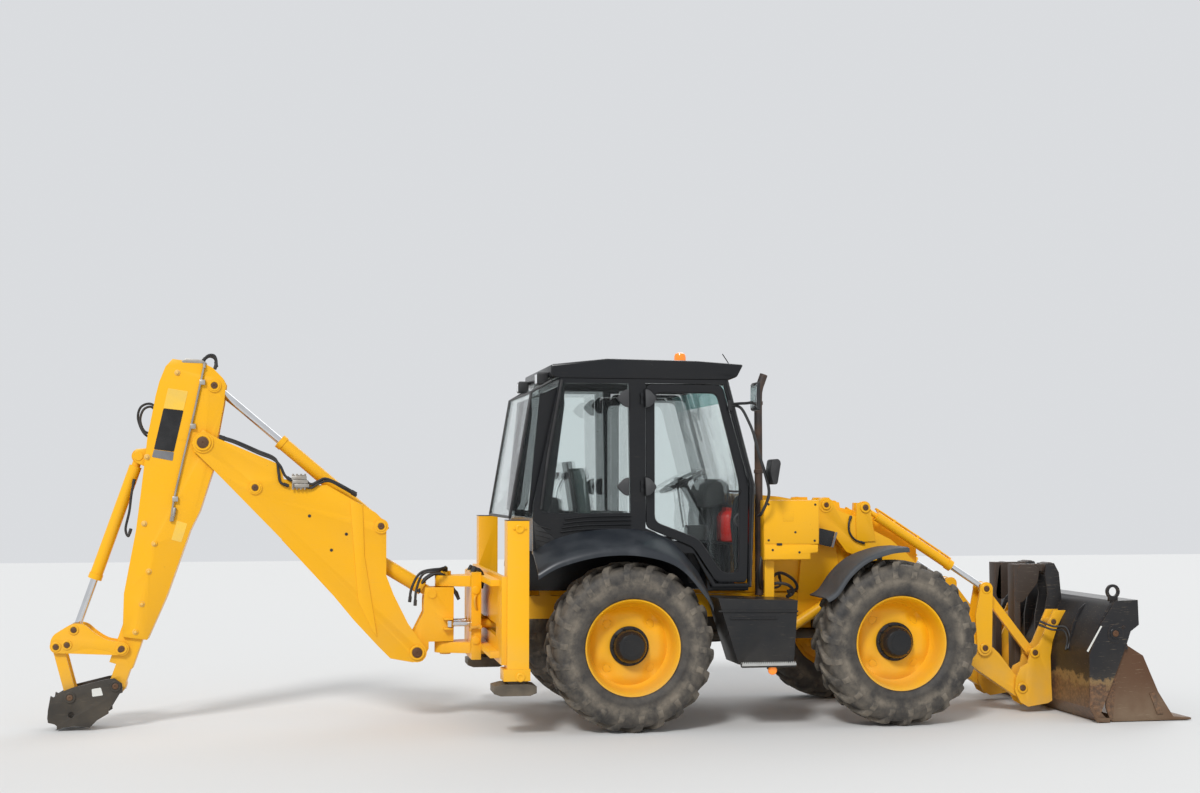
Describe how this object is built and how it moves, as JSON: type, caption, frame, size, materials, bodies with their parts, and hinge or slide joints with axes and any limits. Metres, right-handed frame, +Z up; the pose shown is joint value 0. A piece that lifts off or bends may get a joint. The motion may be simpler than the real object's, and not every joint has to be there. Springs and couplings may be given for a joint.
{
  "type": "backhoe loader",
  "caption": "Yellow backhoe loader on equal-size wheels, with a split-jaw bucket and folded forks in front and a side-shift hoe behind.",
  "frame": {"origin": "on the ground under the middle of the machine", "axes": "+X forward to the loader bucket, +Y to the left side, +Z up"},
  "size_m": [9.269, 2.36, 3.06],
  "materials": {
    "yellow_paint": "warm yellow machine enamel, satin, scratched and dusty low down",
    "black_paint": "semi-gloss black enamel, scratched",
    "dark_plastic": "dark blue-grey moulded plastic with faint scratches",
    "tyre_rubber": "dark grey rubber, dusty tan lugs",
    "chrome_rod": "bright hard-chromed rod",
    "window_glass": "slightly green tinted safety glass",
    "seat_cloth": "grey-green woven cloth",
    "engine_iron": "dark painted casting",
    "worn_steel": "black paint worn through to rust-brown steel",
    "burnt_steel": "heat-browned exhaust pipe"
  },
  "bodies": {
    "machine": {"chassis": "yellow_paint", "rear_frame": "yellow_paint", "engine": "engine_iron", "axles": "black_paint", "fenders": "dark_plastic", "step_boxes": "black_paint", "side_boxes": "yellow_paint", "cab_tub": "black_paint", "cab_frame": "black_paint", "cab_roof": "black_paint", "cab_glass": "window_glass", "seat": "seat_cloth", "exhaust": "burnt_steel", "cab_fittings": "black_paint"},
    "hood": {"hood": "yellow_paint"},
    "door_left": {"door_left": "black_paint"},
    "door_right": {"door_right": "black_paint"},
    "arms": {"loader_arms": "yellow_paint"},
    "lift_barrel": {"lift_barrels": "yellow_paint"},
    "lift_rod": {"lift_rods": "chrome_rod"},
    "tilt_lever": {"tilt_levers": "yellow_paint"},
    "tilt_barrel": {"tilt_barrels": "yellow_paint"},
    "tilt_rod": {"tilt_rods": "chrome_rod"},
    "tilt_link": {"tilt_links": "yellow_paint"},
    "hitch": {"hitch": "yellow_paint", "bucket_back": "black_paint"},
    "jaw": {"bucket_jaw": "worn_steel"},
    "forks": {"forks": "worn_steel"},
    "carriage": {"carriage": "black_paint"},
    "slew_rod_left": {"slew_rod_left": "chrome_rod"},
    "slew_rod_right": {"slew_rod_right": "chrome_rod"},
    "kingpost": {"kingpost": "yellow_paint"},
    "boom": {"boom": "yellow_paint"},
    "boom_barrel": {"boom_barrel": "yellow_paint"},
    "boom_rod": {"boom_rod": "chrome_rod"},
    "dipper": {"dipper": "yellow_paint"},
    "dipper_barrel": {"dipper_barrel": "yellow_paint"},
    "dipper_rod": {"dipper_rod": "chrome_rod"},
    "inner_dipper": {"inner_dipper": "yellow_paint"},
    "coupler_lever": {"coupler_lever": "yellow_paint"},
    "coupler_link": {"coupler_link": "yellow_paint"},
    "coupler": {"coupler": "black_paint"},
    "coupler_barrel": {"coupler_barrel": "yellow_paint"},
    "coupler_rod": {"coupler_rod": "chrome_rod"},
    "leg_left": {"leg_left": "black_paint"},
    "leg_right": {"leg_right": "black_paint"},
    "steer_fl": {"knuckle_fl": "black_paint", "mudguard_fl": "dark_plastic"},
    "wheel_fl": {"tyre_fl": "tyre_rubber", "rim_fl": "yellow_paint"},
    "steer_fr": {"knuckle_fr": "black_paint", "mudguard_fr": "dark_plastic"},
    "wheel_fr": {"tyre_fr": "tyre_rubber", "rim_fr": "yellow_paint"},
    "steer_rl": {"knuckle_rl": "black_paint"},
    "wheel_rl": {"tyre_rl": "tyre_rubber", "rim_rl": "yellow_paint"},
    "steer_rr": {"knuckle_rr": "black_paint"},
    "wheel_rr": {"tyre_rr": "tyre_rubber", "rim_rr": "yellow_paint"}
  },
  "joints": [
    {"name": "steer_fl", "type": "hinge", "parent": "machine", "child": "steer_fl", "pos_m": [2.14, 0.74, 0.67], "axis": [0, 0, 1], "range_deg": [-20, 20]},
    {"name": "roll_fl", "type": "hinge", "parent": "steer_fl", "child": "wheel_fl", "pos_m": [2.14, 0.9, 0.67], "axis": [0, 1, 0], "continuous": true},
    {"name": "steer_fr", "type": "hinge", "parent": "machine", "child": "steer_fr", "pos_m": [2.14, -0.74, 0.67], "axis": [0, 0, 1], "range_deg": [-20, 20]},
    {"name": "roll_fr", "type": "hinge", "parent": "steer_fr", "child": "wheel_fr", "pos_m": [2.14, -0.9, 0.67], "axis": [0, 1, 0], "continuous": true},
    {"name": "steer_rl", "type": "hinge", "parent": "machine", "child": "steer_rl", "pos_m": [-0.08, 0.74, 0.67], "axis": [0, 0, 1], "range_deg": [-20, 20]},
    {"name": "roll_rl", "type": "hinge", "parent": "steer_rl", "child": "wheel_rl", "pos_m": [-0.08, 0.9, 0.67], "axis": [0, 1, 0], "continuous": true},
    {"name": "steer_rr", "type": "hinge", "parent": "machine", "child": "steer_rr", "pos_m": [-0.08, -0.74, 0.67], "axis": [0, 0, 1], "range_deg": [-20, 20]},
    {"name": "roll_rr", "type": "hinge", "parent": "steer_rr", "child": "wheel_rr", "pos_m": [-0.08, -0.9, 0.67], "axis": [0, 1, 0], "continuous": true},
    {"name": "door_left", "type": "hinge", "parent": "machine", "child": "door_left", "pos_m": [0.042, 0.83, 2], "axis": [0, 0, 1], "range_deg": [0, 80]},
    {"name": "door_right", "type": "hinge", "parent": "machine", "child": "door_right", "pos_m": [0.042, -0.83, 2], "axis": [0, 0, -1], "range_deg": [0, 80]},
    {"name": "hood", "type": "hinge", "parent": "machine", "child": "hood", "pos_m": [2.58, 0, 1.06], "axis": [0, 1, 0], "range_deg": [0, 50]},
    {"name": "lift", "type": "hinge", "parent": "machine", "child": "arms", "pos_m": [1.71, 0, 1.785], "axis": [0, -1, 0], "range_deg": [-3, 75]},
    {"name": "lift_barrel", "type": "hinge", "parent": "machine", "child": "lift_barrel", "pos_m": [1.16, 0, 0.6], "axis": [0, -1, 0], "range_deg": [-1.74, 19.4]},
    {"name": "lift_rod", "type": "slide", "parent": "lift_barrel", "child": "lift_rod", "axis": [0.8503, 0, 0.5264], "range_m": [-0.036, 0.783]},
    {"name": "tilt", "type": "hinge", "parent": "arms", "child": "hitch", "pos_m": [3.447, 0, 0.215], "axis": [0, 1, 0], "range_deg": [-30, 55]},
    {"name": "tilt_lever", "type": "hinge", "parent": "arms", "child": "tilt_lever", "pos_m": [3.11, 0, 0.56], "axis": [0, 1, 0], "range_deg": [-24.79, 44.62]},
    {"name": "tilt_barrel", "type": "hinge", "parent": "arms", "child": "tilt_barrel", "pos_m": [2.054, 0, 1.762], "axis": [0, 1, 0], "range_deg": [-5.61, 3.52]},
    {"name": "tilt_rod", "type": "slide", "parent": "tilt_barrel", "child": "tilt_rod", "axis": [0.8394, 0, -0.5435], "range_m": [-0.199, 0.361]},
    {"name": "tilt_link", "type": "hinge", "parent": "hitch", "child": "tilt_link", "pos_m": [3.565, 0, 0.513], "axis": [0, 1, 0], "range_deg": [-43.46, 24.16]},
    {"name": "jaw", "type": "hinge", "parent": "hitch", "child": "jaw", "pos_m": [3.955, 0, 0.73], "axis": [0, -1, 0], "range_deg": [0, 75]},
    {"name": "forks", "type": "hinge", "parent": "hitch", "child": "forks", "pos_m": [3.815, 0, 1.22], "axis": [0, 1, 0], "range_deg": [0, 180]},
    {"name": "shift", "type": "slide", "parent": "machine", "child": "carriage", "axis": [0, -1, 0], "range_m": [-0.55, 0.55]},
    {"name": "slew", "type": "hinge", "parent": "carriage", "child": "kingpost", "pos_m": [-1.47, 0, 0.85], "axis": [0, 0, 1], "range_deg": [-90, 90]},
    {"name": "slew_rod_left", "type": "slide", "parent": "carriage", "child": "slew_rod_left", "axis": [1, 0, 0], "range_m": [-0.16, 0.16]},
    {"name": "slew_rod_right", "type": "slide", "parent": "carriage", "child": "slew_rod_right", "axis": [1, 0, 0], "range_m": [-0.16, 0.16]},
    {"name": "boom", "type": "hinge", "parent": "kingpost", "child": "boom", "pos_m": [-1.714, 0, 0.573], "axis": [0, 1, 0], "range_deg": [-50, 25]},
    {"name": "boom_barrel", "type": "hinge", "parent": "kingpost", "child": "boom_barrel", "pos_m": [-1.59, 0, 1.05], "axis": [0, 1, 0], "range_deg": [-51.44, 26.22]},
    {"name": "boom_rod", "type": "slide", "parent": "boom_barrel", "child": "boom_rod", "axis": [-0.8542, 0, 0.5199], "range_m": [-0.213, 0.421]},
    {"name": "dipper", "type": "hinge", "parent": "boom", "child": "dipper", "pos_m": [-3.458, 0, 2.298], "axis": [0, 1, 0], "range_deg": [-28, 80]},
    {"name": "dipper_barrel", "type": "hinge", "parent": "boom", "child": "dipper_barrel", "pos_m": [-2.017, 0, 1.614], "axis": [0, 1, 0], "range_deg": [-1.12, 1.34]},
    {"name": "dipper_rod", "type": "slide", "parent": "dipper_barrel", "child": "dipper_rod", "axis": [-0.7629, 0, 0.6466], "range_m": [-0.623, 0.221]},
    {"name": "extend", "type": "slide", "parent": "dipper", "child": "inner_dipper", "axis": [-0.3189, 0, -0.9478], "range_m": [0, 1.2]},
    {"name": "coupler", "type": "hinge", "parent": "inner_dipper", "child": "coupler", "pos_m": [-4.114, 0, 0.348], "axis": [0, 1, 0], "range_deg": [-60, 60]},
    {"name": "coupler_lever", "type": "hinge", "parent": "inner_dipper", "child": "coupler_lever", "pos_m": [-4.074, 0, 0.641], "axis": [0, 1, 0], "range_deg": [-45.38, 45.38]},
    {"name": "coupler_barrel", "type": "hinge", "parent": "inner_dipper", "child": "coupler_barrel", "pos_m": [-3.971, 0, 2.188], "axis": [0, 1, 0], "range_deg": [-2.43, 2.43]},
    {"name": "coupler_rod", "type": "slide", "parent": "coupler_barrel", "child": "coupler_rod", "axis": [-0.3195, 0, -0.9476], "range_m": [-0.292, 0.292]},
    {"name": "coupler_link", "type": "hinge", "parent": "coupler", "child": "coupler_link", "pos_m": [-4.463, 0, 0.265], "axis": [0, 1, 0], "range_deg": [-46.12, 46.12]},
    {"name": "leg_left", "type": "slide", "parent": "machine", "child": "leg_left", "axis": [0, 0, -1], "range_m": [0, 0.45]},
    {"name": "leg_right", "type": "slide", "parent": "machine", "child": "leg_right", "axis": [0, 0, -1], "range_m": [0, 0.45]}
  ],
  "couplings": [
    {"joint": "steer_fr", "follows": "steer_fl", "ratio": 1},
    {"joint": "steer_rr", "follows": "steer_rl", "ratio": 1},
    {"joint": "lift_barrel", "follows": "lift", "ratio": 0.2453},
    {"joint": "lift_rod", "follows": "lift", "m_per_rad": 0.5947},
    {"joint": "tilt_lever", "follows": "tilt", "ratio": 0.7931},
    {"joint": "tilt_barrel", "follows": "tilt", "ratio": -0.0838},
    {"joint": "tilt_rod", "follows": "tilt", "m_per_rad": 0.3711},
    {"joint": "tilt_link", "follows": "tilt", "ratio": -0.7721},
    {"joint": "slew_rod_left", "follows": "slew", "m_per_rad": -0.0987},
    {"joint": "slew_rod_right", "follows": "slew", "m_per_rad": 0.0987},
    {"joint": "boom_barrel", "follows": "boom", "ratio": 1.0088},
    {"joint": "boom_rod", "follows": "boom", "m_per_rad": -0.4763},
    {"joint": "dipper_barrel", "follows": "dipper", "ratio": 0.0042},
    {"joint": "dipper_rod", "follows": "dipper", "m_per_rad": -0.4426},
    {"joint": "coupler_lever", "follows": "coupler", "ratio": 0.7398},
    {"joint": "coupler_barrel", "follows": "coupler", "ratio": -0.0239},
    {"joint": "coupler_rod", "follows": "coupler", "m_per_rad": -0.2745},
    {"joint": "coupler_link", "follows": "coupler", "ratio": -0.7519}
  ]
}
